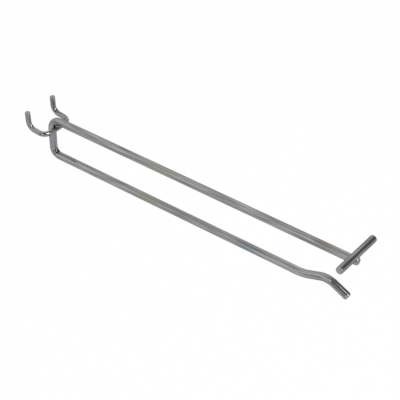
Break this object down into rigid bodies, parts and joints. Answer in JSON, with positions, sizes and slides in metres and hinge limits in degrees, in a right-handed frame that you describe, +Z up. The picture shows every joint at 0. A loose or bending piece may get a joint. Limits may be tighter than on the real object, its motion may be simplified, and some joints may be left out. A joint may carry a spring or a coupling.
{
  "type": "pegboard hook",
  "caption": "Welded wire pegboard hook: long hanging arm with a humped tip, upper arm with a label crossbar, and up-turned prongs for a perforated panel.",
  "frame": {"origin": "on the panel's front face, midway between the two prongs and level with the bar that joins them", "axes": "+Z up, +Y into the panel, -Y out along the arms to the front, X across"},
  "size_m": [0.0396, 0.2669, 0.0415],
  "materials": {
    "zinc_plate": "bright zinc plate on drawn steel wire"
  },
  "bodies": {
    "root": {"main_wire": "zinc_plate", "prong_wire": "zinc_plate", "crossbar": "zinc_plate"}
  },
  "joints": []
}
